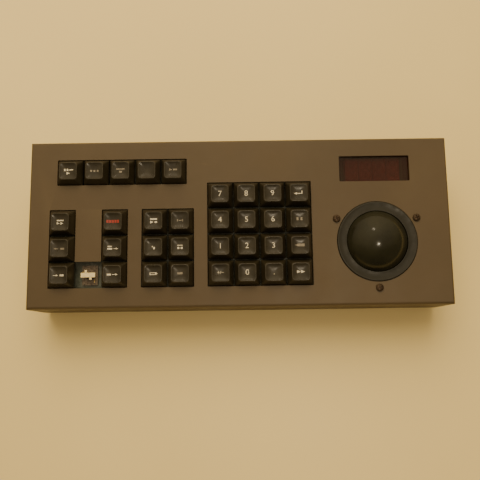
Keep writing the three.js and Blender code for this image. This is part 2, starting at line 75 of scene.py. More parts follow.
class Nodes:
    """Builds one material's node tree."""

    def __init__(self, name):
        self.material = bpy.data.materials.new(name)
        self.material.use_nodes = True
        self.tree = self.material.node_tree
        self.shader = self.tree.nodes["Principled BSDF"]
        self.coords = self.tree.nodes.new("ShaderNodeTexCoord").outputs["Object"]

    def link(self, a, b):
        self.tree.links.new(a, b)

    def stretched(self, scale):
        mapping = self.tree.nodes.new("ShaderNodeMapping")
        mapping.inputs["Scale"].default_value = scale
        self.link(self.coords, mapping.inputs["Vector"])
        return mapping.outputs["Vector"]

    def noise(self, scale, detail=3, roughness=0.55, vector=None):
        node = self.tree.nodes.new("ShaderNodeTexNoise")
        node.inputs["Scale"].default_value = scale
        node.inputs["Detail"].default_value = detail
        node.inputs["Roughness"].default_value = roughness
        self.link(vector or self.coords, node.inputs["Vector"])
        return node.outputs["Fac"]

    def cells(self, scale):
        node = self.tree.nodes.new("ShaderNodeTexVoronoi")
        node.inputs["Scale"].default_value = scale
        self.link(self.coords, node.inputs["Vector"])
        return node.outputs["Distance"]

    def spread(self, value, low, high, to_low=0.0, to_high=1.0):
        node = self.tree.nodes.new("ShaderNodeMapRange")
        node.inputs["From Min"].default_value = low
        node.inputs["From Max"].default_value = high
        node.inputs["To Min"].default_value = to_low
        node.inputs["To Max"].default_value = to_high
        self.link(value, node.inputs["Value"])
        return node.outputs["Result"]

    def mix(self, amount, first, second):
        node = self.tree.nodes.new("ShaderNodeMix")
        node.data_type = "RGBA"
        self.link(amount, node.inputs[0])
        for socket, colour in ((node.inputs[6], first), (node.inputs[7], second)):
            if hasattr(colour, "is_output"):
                self.link(colour, socket)
            else:
                socket.default_value = (*colour, 1)
        return node.outputs[2]

    def edges(self, low=0.52, high=0.62):
        geometry = self.tree.nodes.new("ShaderNodeNewGeometry")
        return self.spread(geometry.outputs["Pointiness"], low, high)

    def bump(self, height, strength, distance, after=None):
        node = self.tree.nodes.new("ShaderNodeBump")
        node.inputs["Strength"].default_value = strength
        node.inputs["Distance"].default_value = distance
        self.link(height, node.inputs["Height"])
        if after is not None:
            self.link(after, node.inputs["Normal"])
        self.link(node.outputs["Normal"], self.shader.inputs["Normal"])
        return node.outputs["Normal"]


def shade(colour, factor):
    return tuple(min(1, c * factor) for c in colour)


def finish(name, colour, rough, metal=0.0, vary=0.18, patch=45, grain=1800, bump=0.15, depth=0.00004,
           rough_vary=0.12, specular=0.5, wear=None, alpha=1.0):
    """A finish with patchy colour, uneven gloss, a fine grain, and wear along the edges if asked."""
    n = Nodes(name)
    tint = n.mix(n.spread(n.noise(patch, 4), 0.3, 0.7), shade(colour, 1 - vary), shade(colour, 1 + vary))
    if wear:
        broken = n.spread(n.noise(grain / 3, 2), 0.35, 0.6)
        node = n.tree.nodes.new("ShaderNodeMath")
        node.operation = "MULTIPLY"
        n.link(n.edges(), node.inputs[0])
        n.link(broken, node.inputs[1])
        tint = n.mix(node.outputs[0], tint, wear)
    n.link(tint, n.shader.inputs["Base Color"])
    smoothest, roughest = max(0.02, rough - rough_vary), min(1, rough + rough_vary)
    gloss = n.spread(n.noise(patch * 2.3, 5), 0.3, 0.7, smoothest, roughest)
    n.link(gloss, n.shader.inputs["Roughness"])
    n.shader.inputs["Metallic"].default_value = metal
    n.shader.inputs["Specular IOR Level"].default_value = specular
    n.shader.inputs["Alpha"].default_value = alpha
    n.bump(n.noise(grain, 2), bump, depth)
    return n.material


def case_paint(name, colour, rough):
    """Textured satin paint: a fine orange-peel bump, faint scuffs, dust specks and worn bends."""
    n = Nodes(name)
    body = n.mix(n.spread(n.noise(14, 5, 0.6), 0.3, 0.7), shade(colour, 0.9), shade(colour, 1.1))
    speck = n.spread(n.cells(700), 0.02, 0.12, 1, 0)
    sparse = n.spread(n.noise(160, 2), 0.6, 0.66)
    node = n.tree.nodes.new("ShaderNodeMath")
    node.operation = "MULTIPLY"
    n.link(speck, node.inputs[0])
    n.link(sparse, node.inputs[1])
    dusty = n.mix(node.outputs[0], body, shade(colour, 1.7))
    scuffs = n.spread(n.noise(1, 5, 0.7, n.stretched((35, 240, 120))), 0.64, 0.74, 0, 0.35)
    scuffed = n.mix(scuffs, dusty, shade(colour, 1.45))
    worn = n.mix(n.edges(0.54, 0.75), scuffed, shade(colour, 1.25))
    n.link(worn, n.shader.inputs["Base Color"])
    n.link(n.spread(n.noise(30, 6, 0.65), 0.3, 0.7, rough - 0.08, rough + 0.1), n.shader.inputs["Roughness"])
    n.shader.inputs["Specular IOR Level"].default_value = 0.45
    peel = n.bump(n.noise(1400, 2), 0.25, 0.00006)
    n.bump(n.noise(260, 3), 0.12, 0.00012, after=peel)
    return n.material


def brushed(name, colour, rough):
    """Metal with fine lines along X."""
    n = Nodes(name)
    lines = n.noise(1, 3, 0.6, n.stretched((40, 3000, 3000)))
    n.link(n.mix(lines, shade(colour, 0.8), shade(colour, 1.15)), n.shader.inputs["Base Color"])
    n.link(n.spread(lines, 0.3, 0.7, rough - 0.08, rough + 0.12), n.shader.inputs["Roughness"])
    n.shader.inputs["Metallic"].default_value = 1
    n.bump(lines, 0.2, 0.00003)
    return n.material


def circuit(name):
    """Green lacquer over copper tracks."""
    n = Nodes(name)
    wave = n.tree.nodes.new("ShaderNodeTexWave")
    wave.bands_direction = "X"
    wave.inputs["Scale"].default_value = 90
    wave.inputs["Distortion"].default_value = 1.5
    n.link(n.coords, wave.inputs["Vector"])
    tracks = n.spread(wave.outputs["Fac"], 0.62, 0.72)
    lacquer = n.mix(n.spread(n.noise(30), 0.3, 0.7), (0.018, 0.07, 0.035), (0.03, 0.1, 0.05))
    n.link(n.mix(tracks, lacquer, (0.05, 0.15, 0.07)), n.shader.inputs["Base Color"])
    n.link(n.spread(n.noise(200), 0.3, 0.7, 0.25, 0.45), n.shader.inputs["Roughness"])
    n.bump(tracks, 0.3, 0.00005)
    return n.material


PAINT = case_paint("case_paint", (0.068, 0.046, 0.023), 0.5)
TRAY_PAINT = case_paint("tray_paint", (0.057, 0.04, 0.023), 0.55)
RUBBER = finish("rubber", (0.018, 0.017, 0.016), 0.75, vary=0.35, grain=1500, bump=0.4)
CAP = finish("cap_plastic", (0.02, 0.0155, 0.008), 0.34, vary=0.25, patch=120, grain=5000, bump=0.12,
             depth=0.00002, rough_vary=0.09, wear=(0.09, 0.07, 0.04))
LEGEND = finish("legend_ink", (0.5, 0.44, 0.33), 0.5, vary=0.22, patch=600, grain=6000, bump=0.1)
DIM_LEGEND = finish("dim_legend_ink", (0.17, 0.14, 0.1), 0.5, vary=0.3, patch=600, grain=6000, bump=0.1)
RED_LEGEND = finish("red_legend_ink", (0.24, 0.025, 0.013), 0.45, vary=0.2, patch=600, grain=6000, bump=0.1)
SLIDER = finish("slider_plastic", (0.62, 0.5, 0.27), 0.45, vary=0.15, patch=400, grain=3000)
HOUSING = finish("switch_plastic", (0.04, 0.022, 0.013), 0.42, vary=0.45, patch=500, grain=2500, bump=0.3,
                 wear=(0.12, 0.09, 0.06))
PLATE = finish("plate_paint", (0.035, 0.04, 0.028), 0.4, vary=0.25, patch=150, wear=(0.12, 0.12, 0.1))
BALL_RESIN = finish("ball_resin", (0.016, 0.0145, 0.0075), 0.15, vary=0.3, patch=60, grain=900, bump=0.02,
                    rough_vary=0.05, specular=0.35)
RING = finish("ring_plastic", (0.013, 0.0112, 0.0066), 0.5, vary=0.18, patch=80, grain=2600, bump=0.25,
              wear=(0.05, 0.048, 0.04))
FRAME_PLASTIC = finish("frame_plastic", (0.012, 0.012, 0.012), 0.55, vary=0.3)
DARK_STEEL = finish("dark_steel", (0.045, 0.026, 0.014), 0.45, metal=0.6, vary=0.3, patch=500, grain=2500,
                    bump=0.3, wear=(0.14, 0.1, 0.06))
STEEL = brushed("ground_steel", (0.5, 0.5, 0.5), 0.3)
NICKEL = brushed("nickel_plate", (0.62, 0.6, 0.56), 0.25)
BRASS = brushed("gold_contact", (0.75, 0.55, 0.22), 0.3)
SOCKET_BLACK = finish("socket_plastic", (0.015, 0.015, 0.016), 0.5)
WINDOW_RED = finish("window_red", (0.026, 0.0085, 0.0045), 0.12, vary=0.15, patch=30, grain=900, bump=0.02,
                    rough_vary=0.05, alpha=0.55)
DIGIT_FACE = finish("digit_face", (0.36, 0.03, 0.02), 0.4, vary=0.2, patch=200)
SEGMENT = finish("digit_segment", (0.46, 0.06, 0.04), 0.35, vary=0.15, patch=400)
BOARD = circuit("circuit_board")
CABLE = finish("ribbon_grey", (0.3, 0.3, 0.31), 0.6, vary=0.12)


# ------------------------------------------------------------------ mesh helpers

def outline(points, radius, steps=5):
    """Rounds the corners of a polygon with short curves."""
    result = []
    count = len(points)
    for i, point in enumerate(points):
        p = Vector(point)
        before = (Vector(points[i - 1]) - p).normalized()
        after = (Vector(points[(i + 1) % count]) - p).normalized()
        a, b = p + before * radius, p + after * radius
        for k in range(steps + 1):
            t = k / steps
            result.append(a * (1 - t) ** 2 + p * (2 * t * (1 - t)) + b * t ** 2)
    return result


def rectangle(x0, x1, y0, y1):
    return [(x0, y0), (x1, y0), (x1, y1), (x0, y1)]


def prism(bm, points, z0, z1, lift=None):
    """Adds a closed prism. lift maps (x, y, z) to a place, and leaves it alone if None."""
    place = lift or (lambda x, y, z: (x, y, z))
    low = [bm.verts.new(place(p[0], p[1], z0)) for p in points]
    high = [bm.verts.new(place(p[0], p[1], z1)) for p in points]
    count = len(points)
    for i in range(count):
        j = (i + 1) % count
        bm.faces.new((low[i], low[j], high[j], high[i]))
    bm.faces.new(list(reversed(low)))
    bm.faces.new(high)


def block(bm, x0, x1, y0, y1, z0, z1, radius=0.0):
    points = rectangle(x0, x1, y0, y1)
    prism(bm, outline(points, radius, 3) if radius else points, z0, z1)


def loft(bm, rings, close_low=True, close_high=True):
    """Skins rings of points, each the same length, in order."""
    rows = [[bm.verts.new(p) for p in ring] for ring in rings]
    count = len(rows[0])
    for a, b in zip(rows, rows[1:]):
        for i in range(count):
            j = (i + 1) % count
            bm.faces.new((a[i], a[j], b[j], b[i]))
    if close_low:
        bm.faces.new(list(reversed(rows[0])))
    if close_high:
        bm.faces.new(rows[-1])
    return rows


def lathe(bm, profile, segments=64, centre=(0, 0), closed=False):
    """Turns [radius, z] pairs about Z. Points on the axis become one vertex."""
    cx, cy = centre
    rows = []
    for r, z in profile:
        if r < 1e-6:
            rows.append([bm.verts.new((cx, cy, z))])
            continue
        row = []
        for k in range(segments):
            angle = 2 * math.pi * k / segments
            row.append(bm.verts.new((cx + r * math.cos(angle), cy + r * math.sin(angle), z)))
        rows.append(row)
    pairs = list(zip(rows, rows[1:]))
    if closed:
        pairs.append((rows[-1], rows[0]))
    for a, b in pairs:
        for k in range(segments):
            m = (k + 1) % segments
            if len(a) == 1 and len(b) == 1:
                continue
            if len(a) == 1:
                bm.faces.new((a[0], b[m], b[k]))
            elif len(b) == 1:
                bm.faces.new((a[k], a[m], b[0]))
            else:
                bm.faces.new((a[k], a[m], b[m], b[k]))


def into_mesh(name, bm, matrix=WORLD, smooth_angle=32):
    bmesh.ops.recalc_face_normals(bm, faces=bm.faces)
    mesh = bpy.data.meshes.new(name)
    bm.to_mesh(mesh)
    bm.free()
    mesh.transform(Matrix.Scale(MM, 4) @ matrix)
    mesh.shade_smooth()
    mesh.set_sharp_from_angle(angle=math.radians(smooth_angle))
    return mesh


def bake_modifiers(obj):
    """Replaces obj's mesh by what its modifiers make of it."""
    bpy.context.view_layer.update()
    evaluated = obj.evaluated_get(bpy.context.evaluated_depsgraph_get())
    mesh = bpy.data.meshes.new_from_object(evaluated)
    obj.modifiers.clear()
    obj.data = mesh


def add(name, mesh, material, body, replaces=(), bevel=0.0, bevel_angle=40, cuts=()):
    """A new piece, cut and bevelled as asked, that rides on a CAD body."""
    obj = bpy.data.objects.new(name, mesh)
    bpy.context.scene.collection.objects.link(obj)
    if not mesh.materials:
        mesh.materials.append(material)
    for cut in cuts:
        tool = bpy.data.objects.new(name + "_tool", cut)
        bpy.context.scene.collection.objects.link(tool)
        modifier = obj.modifiers.new("cut", "BOOLEAN")
        modifier.operation = "DIFFERENCE"
        modifier.solver = "EXACT"
        modifier.use_self = True
        modifier.object = tool
        bake_modifiers(obj)
        bpy.data.objects.remove(tool)
    if bevel:
        modifier = obj.modifiers.new("bevel", "BEVEL")
        modifier.width = bevel * MM
        modifier.segments = 2
        modifier.limit_method = "ANGLE"
        modifier.angle_limit = math.radians(bevel_angle)
        bake_modifiers(obj)
    if cuts or bevel:
        obj.data.shade_smooth()
        obj.data.set_sharp_from_angle(angle=math.radians(60))
        modifier = obj.modifiers.new("normals", "WEIGHTED_NORMAL")
        modifier.keep_sharp = True
        modifier.weight = 100
        bake_modifiers(obj)
    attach(obj, body)
    if replaces:
        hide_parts(*replaces)
    return obj


# ------------------------------------------------------------------ key layout

# The middle of each bank of keys, and the keys in it, row by row from the back.
MODE_BANK = (-86, 38.15)
LEFT_BANK = (-109.9, -18.25)
EDIT_BANK = (-52.2, -18.25)
NUMBER_BANK = (14.75, -8.72)
KEY_BANKS = [
    (MODE_BANK, [["mode_1", "mode_2", "mode_3", "mode_4", "mode_5"]]),
    (LEFT_BANK, [["cue_1", None, "step_1"], ["cue_2", None, "step_2"], ["cue_3", "slider", "step_3"]]),
    (EDIT_BANK, [["edit_1", "edit_2"], ["edit_3", "edit_4"], ["edit_5", "edit_6"]]),
    (NUMBER_BANK, [["7", "8", "9", "enter"], ["4", "5", "6", "hold"], ["1", "2", "3", "clear"],
                   ["sign", "0", "point", "go"]]),
]
KEYS = {}
for (bank_x, bank_y), rows in KEY_BANKS:
    for r, row in enumerate(rows):
        for c, key in enumerate(row):
            if key is not None:
                columns_across = c - (len(row) - 1) / 2
                rows_up = (len(rows) - 1) / 2 - r
                KEYS[key] = (bank_x + columns_across * PITCH, bank_y + rows_up * PITCH)


# ------------------------------------------------------------------ case

def slope_height(y, inset=0.0):
    """Height above the floor of the cover's top, or of a surface inset below it, at a world y."""
    return BOTTOM + FRONT_WALL + (y - FRONT) * math.tan(SLOPE) - inset / math.cos(SLOPE)


def wedge(bm, inset, low):
    """A block with the case's sloping top, drawn in from the case's outside by inset."""
    y0, y1 = FRONT + inset, BACK - inset
    side = [(y0, low), (y1, low), (y1, slope_height(y1, inset)), (y0, slope_height(y0, inset))]
    half = HALF_WIDTH - inset
    prism(bm, side, -half, half, lift=lambda y, z, x: (x, y, z))


def panel_openings(bm):
    """Every hole through the panel, in panel coordinates."""
    half = PITCH / 2

    def bank(middle, columns, rows):
        x, y = middle
        width, depth = columns * half, rows * half
        prism(bm, outline(rectangle(x - width, x + width, y - depth, y + depth), 0.5, 3), -4, 4)

    bank(MODE_BANK, 5, 1)
    left, right = LEFT_BANK[0] - 3 * half, LEFT_BANK[0] + 3 * half
    low, high = LEFT_BANK[1] - 3 * half, LEFT_BANK[1] + 3 * half
    inner_left, inner_right = left + PITCH, right - PITCH
    u_shape = [(left, low), (right, low), (right, high), (inner_right, high), (inner_right, low + PITCH),
               (inner_left, low + PITCH), (inner_left, high), (left, high)]
    prism(bm, outline(u_shape, 0.5, 3), -4, 4)
    bank(EDIT_BANK, 2, 3)
    bank(NUMBER_BANK, 4, 4)
    x, y, width, depth = WINDOW
    prism(bm, outline(rectangle(x - width / 2, x + width / 2, y - depth / 2, y + depth / 2), 0.9, 4), -4, 4)
    lathe(bm, [(0, -4), (RING_OUTER + GAP, -4), (RING_OUTER + GAP, 4), (0, 4)], 96, (BALL.x, BALL.y))
    for sx, sy in ring_screws():
        lathe(bm, [(0, -4), (1.9, -4), (1.9, 4), (0, 4)], 20, (sx, sy))


def ring_screws():
    """Where the three ring screws are, in panel coordinates."""
    angles = [math.radians(a) for a in (30, 150, 270)]
    return [(BALL.x + RING_SCREW_CIRCLE * math.cos(a), BALL.y + RING_SCREW_CIRCLE * math.sin(a))
            for a in angles]


CASE_SCREW_RADIUS = 2.9


def case_screw_places():
    """Where the countersunk screws that hold the tray sit, just under the side and back walls' faces."""
    height = BOTTOM + 6.5
    places = [(side * (HALF_WIDTH - 0.05), y, side, 0) for side in (-1, 1) for y in (FRONT + 28, BACK - 28)]
    places += [(x, BACK - 0.05, 0, 1) for x in (-130, 0, 130)]
    result = []
    for x, y, outward_x, outward_y in places:
        turn = Vector((0, 0, 1)).rotation_difference(Vector((outward_x, outward_y, 0)))
        result.append(Matrix.Translation((x, y, height)) @ turn.to_matrix().to_4x4())
    return result


def make_cover():
    bm = bmesh.new()
    wedge(bm, 0, BOTTOM)
    top = [e for e in bm.edges if all(v.co.z > BOTTOM + 10 for v in e.verts)]
    bmesh.ops.bevel(bm, geom=top, offset=BEND, segments=7, profile=0.5, affect="EDGES")
    mesh = into_mesh("top_cover_shell", bm)

    tools = bmesh.new()
    panel_openings(tools)
    bmesh.ops.transform(tools, matrix=PANEL, verts=tools.verts)
    hollow = bmesh.new()
    wedge(hollow, SHEET, BOTTOM - 5)
    x, y, z = SOCKET
    block(tools, x - 10, x + 10, y - 5, y + 2, z - 5.8, z + 5.8)
    # The folded corners meet in a fine vertical seam.
    for side in (-1, 1):
        for face in (FRONT, BACK):
            inner = 1 if face == FRONT else -1
            block(tools, *sorted((side * (HALF_WIDTH + 1), side * (HALF_WIDTH - 0.35))),
                  *sorted((face + inner * 1.6, face + inner * 1.85)), BOTTOM - 1, slope_height(face) - 3)
    sink = CASE_SCREW_RADIUS + 0.15
    for place in case_screw_places():
        pocket = bmesh.new()
        lathe(pocket, [(0, -0.9), (sink, -0.9), (sink, 1), (0, 1)], 32)
        bmesh.ops.transform(pocket, matrix=place, verts=pocket.verts)
        pocket_mesh = bpy.data.meshes.new("pocket")
        pocket.to_mesh(pocket_mesh)
        pocket.free()
        tools.from_mesh(pocket_mesh)
    return mesh, [into_mesh("cover_hollow", hollow), into_mesh("cover_tool", tools)]


cover_mesh, cover_cuts = make_cover()
add("top_cover_shell", cover_mesh, PAINT, "case", ["top_cover"], bevel=0.22, bevel_angle=38,
    cuts=cover_cuts)


def cross(width, length):
    """The outline of a plus sign."""
    w, l = width / 2, length / 2
    return [(w, w), (w, l), (-w, l), (-w, w), (-l, w), (-l, -w), (-w, -w), (-w, -l), (w, -l), (w, -w),
            (l, -w), (l, w)]


def screw_head(heads, recesses, matrix, radius, rise, flat=False):
    """Adds a head whose top is at rise above the matrix's origin, and the cross recess to cut in it."""
    head = bmesh.new()
    if flat:
        profile = [(0, -0.85), (radius - 0.2, -0.85), (radius, -0.1), (radius - 0.1, 0), (0, 0)]
    else:
        profile = [(0, 0), (radius, 0), (radius, rise * 0.35), (radius * 0.86, rise * 0.75),
                   (radius * 0.6, rise * 0.95), (0, rise)]
    lathe(head, profile, 28)
    recess = bmesh.new()
    turn = Matrix.Rotation(math.radians(20), 2)
    plus = [turn @ Vector(p) for p in cross(radius * 0.24, radius * 1.15)]
    prism(recess, plus, rise - 0.7, rise + 1)
    for part, whole in ((head, heads), (recess, recesses)):
        bmesh.ops.transform(part, matrix=matrix, verts=part.verts)
        mesh = bpy.data.meshes.new("screw")
        part.to_mesh(mesh)
        part.free()
        whole.from_mesh(mesh)


heads, recesses = bmesh.new(), bmesh.new()
for place in case_screw_places():
    screw_head(heads, recesses, place, CASE_SCREW_RADIUS, 0.0, flat=True)
add("case_screws", into_mesh("case_screws", heads), DARK_STEEL, "case",
    cuts=[into_mesh("case_recesses", recesses)])


def make_tray():
    inset = SHEET + GAP
    half = HALF_WIDTH - inset
    bm = bmesh.new()
    block(bm, -half, half, FRONT + inset, BACK - inset, BOTTOM, BOTTOM + 11)
    tools = bmesh.new()
    wall = inset + SHEET
    block(tools, -half + SHEET, half - SHEET, FRONT + wall, BACK - wall, BOTTOM + SHEET, BOTTOM + 20)
    # Two rows of cooling slots.
    for row in range(2):
        for k in range(9):
            x = -64 + 16 * k
            y = -20 + 34 * row
            slot = outline(rectangle(x - 5.5, x + 5.5, y - 1.1, y + 1.1), 1.0, 4)
            prism(tools, slot, BOTTOM - 2, BOTTOM + 5)
    return into_mesh("tray", bm), into_mesh("tray_tool", tools)


tray_mesh, tray_tool = make_tray()
add("base_tray_pan", tray_mesh, TRAY_PAINT, "case", ["base_tray"], bevel=0.35, cuts=[tray_tool])

heads, recesses = bmesh.new(), bmesh.new()
for sx in (-100, 0, 100):
    for sy in (FRONT + 14, BACK - 14):
        down = Matrix.Translation((sx, sy, BOTTOM)) @ Matrix.Rotation(math.pi, 4, "X")
        screw_head(heads, recesses, down, 3.1, 1.7)
add("tray_screws", into_mesh("tray_screws", heads), DARK_STEEL, "case",
    cuts=[into_mesh("tray_recesses", recesses)])

for node in ("foot_front_left", "foot_front_right", "foot_back_left", "foot_back_right"):
    low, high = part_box(node)
    centre = ((low.x + high.x) / 2 / MM, (low.y + high.y) / 2 / MM)
    radius = (high.x - low.x) / 2 / MM
    bm = bmesh.new()
    sunk_hole = [(0, 2.2), (2.6, 2.2), (2.8, 0.35), (3.3, 0.02)]
    rounded_rim = [(4.6, 0), (radius - 0.8, 0.25), (radius - 0.25, 0.9), (radius, 2), (radius, BOTTOM),
                   (0, BOTTOM)]
    lathe(bm, sunk_hole + rounded_rim, 48, centre)
    add(node + "_rubber", into_mesh(node, bm), RUBBER, "case", [node])
    heads, recesses = bmesh.new(), bmesh.new()
    down = Matrix.Translation((*centre, 2.3)) @ Matrix.Rotation(math.pi, 4, "X")
    screw_head(heads, recesses, down, 2.3, 1.1)
    add(node + "_screw", into_mesh(node + "_screw", heads), DARK_STEEL, "case",
        cuts=[into_mesh(node + "_recess", recesses)])


# ------------------------------------------------------------------ keys

def square_ring(half, corner, z, side_steps=6, corner_steps=5):
    """A rounded square of points, anticlockwise from the right-hand side."""
    points = []
    core = half - corner
    for quarter in range(4):
        turn = Matrix.Rotation(quarter * math.pi / 2, 2)
        for k in range(side_steps):
            points.append(turn @ Vector((half, -core + 2 * core * k / side_steps)))
        for k in range(corner_steps):
            angle = math.pi / 2 * k / corner_steps
            points.append(turn @ Vector((core + corner * math.cos(angle), core + corner * math.sin(angle))))
    return [(p.x, p.y, z) for p in points]


# Half-size, corner radius and height of the cap's outer surface, from the skirt up over the rim and down
# into the dish.
CAP_OUTSIDE = [
    (9.05, 0.9, -2.2), (9.15, 0.8, -2.0), (9.13, 0.8, -0.8), (9.0, 0.95, -0.1), (8.3, 1.3, 1.5),
    (7.5, 1.75, 3.3), (6.88, 2.1, 4.75), (6.6, 2.25, 5.45), (6.4, 2.3, 5.82), (6.15, 2.25, 6.0),
    (5.9, 2.2, 5.97), (5.6, 2.1, 5.82), (4.9, 1.85, 5.5), (4.0, 1.5, 5.2), (3.0, 1.15, 4.97),
    (2.0, 0.8, 4.82), (1.0, 0.4, 4.74), (0.3, 0.14, 4.72),
]
CAP_INSIDE = [(5.3, 1.2, 4.0), (7.8, 0.7, -2.0), (7.9, 0.7, -2.2)]


def dish_height(x, y):
    """Height of the dished top of a cap, for legends that lie in it."""
    reach = (abs(x) ** 7 + abs(y) ** 7) ** (1 / 7)
    dish = [(h, z) for h, c, z in reversed(CAP_OUTSIDE) if h < 6.1]
    if reach <= dish[0][0]:
        return dish[0][1]
    for (h0, z0), (h1, z1) in zip(dish, dish[1:]):
        if reach <= h1:
            return z0 + (z1 - z0) * (reach - h0) / (h1 - h0)
    return dish[-1][1]


def cap_mesh():
    """One hollow cap with its stem, about the middle of its key position."""
    bm = bmesh.new()
    rings = [square_ring(*level) for level in CAP_INSIDE + CAP_OUTSIDE]
    loft(bm, rings)
    block(bm, -2.5, 2.5, -1.5, 1.5, -7.6, 4.4, 0.4)
    return into_mesh("key_cap", bm, smooth_angle=50)


def text_outline(text, size):
    """The built-in font's letters as flat triangles, centred, in millimetres."""
    curve = bpy.data.curves.new("legend", "FONT")
    curve.body = text
    curve.size = size
    curve.align_x = "CENTER"
    curve.align_y = "CENTER"
    curve.resolution_u = 4
    obj = bpy.data.objects.new("legend", curve)
    bpy.context.scene.collection.objects.link(obj)
    bpy.context.view_layer.update()
    mesh = bpy.data.meshes.new_from_object(obj.evaluated_get(bpy.context.evaluated_depsgraph_get()))
    bpy.data.objects.remove(obj)
    bm = bmesh.new()
    bm.from_mesh(mesh)
    return bm


def bar(x, y, w, h):
    return rectangle(x - w / 2, x + w / 2, y - h / 2, y + h / 2)


def arrow(x, y, size, way):
    return [(x - way * size / 2, y - size / 2), (x + way * size / 2, y), (x - way * size / 2, y + size / 2)]


# Each symbol is a list of polygons in millimetres about the middle of the key, and is drawn
# SYMBOL_SPREAD times as wide.
SYMBOL_SPREAD = 1.3
SYMBOLS = {
    "mode_1": [bar(-1.9, 1.0, 0.9, 1.7), bar(-0.5, 1.0, 0.9, 1.7), bar(1.6, 1.0, 2.2, 0.8),
               arrow(0, -1.5, 1.9, 1)],
    "mode_2": [bar(-1.8, 0, 1.0, 1.4), bar(0, 0, 1.0, 1.4), bar(1.8, 0, 1.0, 1.4)],
    "mode_3": [bar(0, 1.1, 4.6, 0.9), bar(0, -0.9, 1.6, 1.4)],
    "mode_4": [],
    "mode_5": [arrow(-1.2, 0.2, 1.7, 1), bar(1.2, 0.2, 2.2, 1.2)],
    "cue_1": [bar(0, 1.1, 3.8, 0.9), arrow(-1.0, -1.0, 1.7, 1), arrow(1.0, -1.0, 1.7, 1)],
    "cue_2": [arrow(-2.5, -0.3, 1.3, -1), bar(-1.4, -0.3, 1.6, 0.4), bar(1.6, -0.3, 2.2, 1.3)],
    "cue_3": [arrow(-0.9, -0.3, 1.3, 1), bar(-2.2, -0.3, 1.6, 0.4), bar(1.7, -0.3, 2.2, 1.3)],
    "step_1": [bar(-3 + 1.45 * k, -0.1, 1.15, 2.1) for k in range(5)],
    "step_2": [bar(-1.6, 0.9, 2.2, 0.8), bar(-1.6, -0.8, 2.6, 1.2), bar(1.3, -0.8, 1.6, 0.4),
               arrow(2.5, -0.8, 1.3, 1)],
    "step_3": [bar(-1.8, -0.2, 2.2, 1.3), bar(0.9, -0.2, 2.0, 0.4), arrow(2.4, -0.2, 1.3, 1)],
    "edit_1": [bar(0, 1.2, 3.9, 1.1), arrow(-0.9, -1.0, 1.9, 1), bar(1.3, -1.0, 1.4, 1.2)],
    "edit_2": [bar(-1.4, 0, 0.5, 1.6), bar(1.4, 0, 0.5, 1.6), bar(0, 0, 1.6, 0.5)],
    "edit_3": [bar(0.4, -0.8, 0.9, 1.5), bar(-0.5, 0.3, 0.6, 0.9)],
    "edit_4": [bar(0, 1.0, 3.0, 0.5), bar(-0.9, -0.9, 1.1, 1.5), bar(0.9, -0.9, 1.1, 1.5)],
    "edit_5": [bar(0, 0.65, 3.8, 0.45), bar(0, -0.65, 3.8, 0.45), bar(-1.7, 0, 0.45, 1.6),
               arrow(1.8, 0, 1.7, 1)],
    "edit_6": [bar(0, 0, 2.9, 1.5)],
    "enter": [arrow(-1.9, -0.5, 1.8, -1), bar(0.3, -0.5, 3.2, 0.5), bar(1.8, 0.4, 0.5, 2.2)],
    "hold": [bar(-1.1, 0, 1.1, 2.2), bar(1.1, 0, 1.1, 2.2)],
    "clear": [arrow(-2.1, 0, 2.0, -1), bar(0.6, 0, 3.6, 2.0)],
    "go": [arrow(-1.1, 0, 2.2, 1), arrow(1.1, 0, 2.2, 1)],
}
TEXTS = {"sign": "+/−", "point": "."}
DIM = {"mode_2", "mode_4", "mode_5", "mode_3", "cue_2", "edit_2", "edit_6", "hold", "clear"}


def legend_mesh(key):
    """A key's symbol or text as thin raised ink that follows the dish, or None if the key is plain."""
    if key in SYMBOLS:
        bm = bmesh.new()
        for polygon in SYMBOLS[key]:
            bm.faces.new([bm.verts.new((x * SYMBOL_SPREAD, y, 0)) for x, y in polygon])
    else:
        size = 3.4 if key == "sign" else 5.6
        bm = text_outline(TEXTS.get(key, key), size)
    if not bm.faces:
        bm.free()
        return None
    bmesh.ops.triangulate(bm, faces=bm.faces)
    bmesh.ops.subdivide_edges(bm, edges=bm.edges, cuts=2, use_grid_fill=True)
    low = list(bm.faces)
    extruded = bmesh.ops.extrude_face_region(bm, geom=low)
    moved = {v for v in extruded["geom"] if isinstance(v, bmesh.types.BMVert)}
    for v in bm.verts:
        raised = v in moved
        v.co.z = dish_height(v.co.x, v.co.y) + (0.045 if raised else -0.12)
    return bm


CAP_MESH = cap_mesh()
for key, (x, y) in KEYS.items():
    if key == "slider":
        continue
    node = "key_" + key
    place = PANEL @ Matrix.Translation((x, y, 0))
    mesh = CAP_MESH.copy()
    mesh.transform(Matrix.Scale(MM, 4) @ place @ Matrix.Scale(1 / MM, 4))
    add(node + "_cap", mesh, CAP, node + "_body", [node])
    letters = legend_mesh(key)
    if letters:
        ink = RED_LEGEND if key == "step_1" else DIM_LEGEND if key in DIM else LEGEND
        add(node + "_legend", into_mesh(node + "_legend", letters, place), ink, node + "_body")


# ------------------------------------------------------------------ switches

# Heights of the parts of a switch, and of the plate that carries the switches, below the panel's face.
HOUSING_BOTTOM = -14
HOUSING_SHOULDER = -8.2
COLLAR_TOP = -6.5
PLATE_TOP = -7.8
PLATE_BOTTOM = -9
STEM_BOTTOM = -7.6
SLOT_BOTTOM = -12.6
SLIDER_TOP = -1
SLOT_HALF_WIDTH = 2.9
SLOT_HALF_DEPTH = 2.1


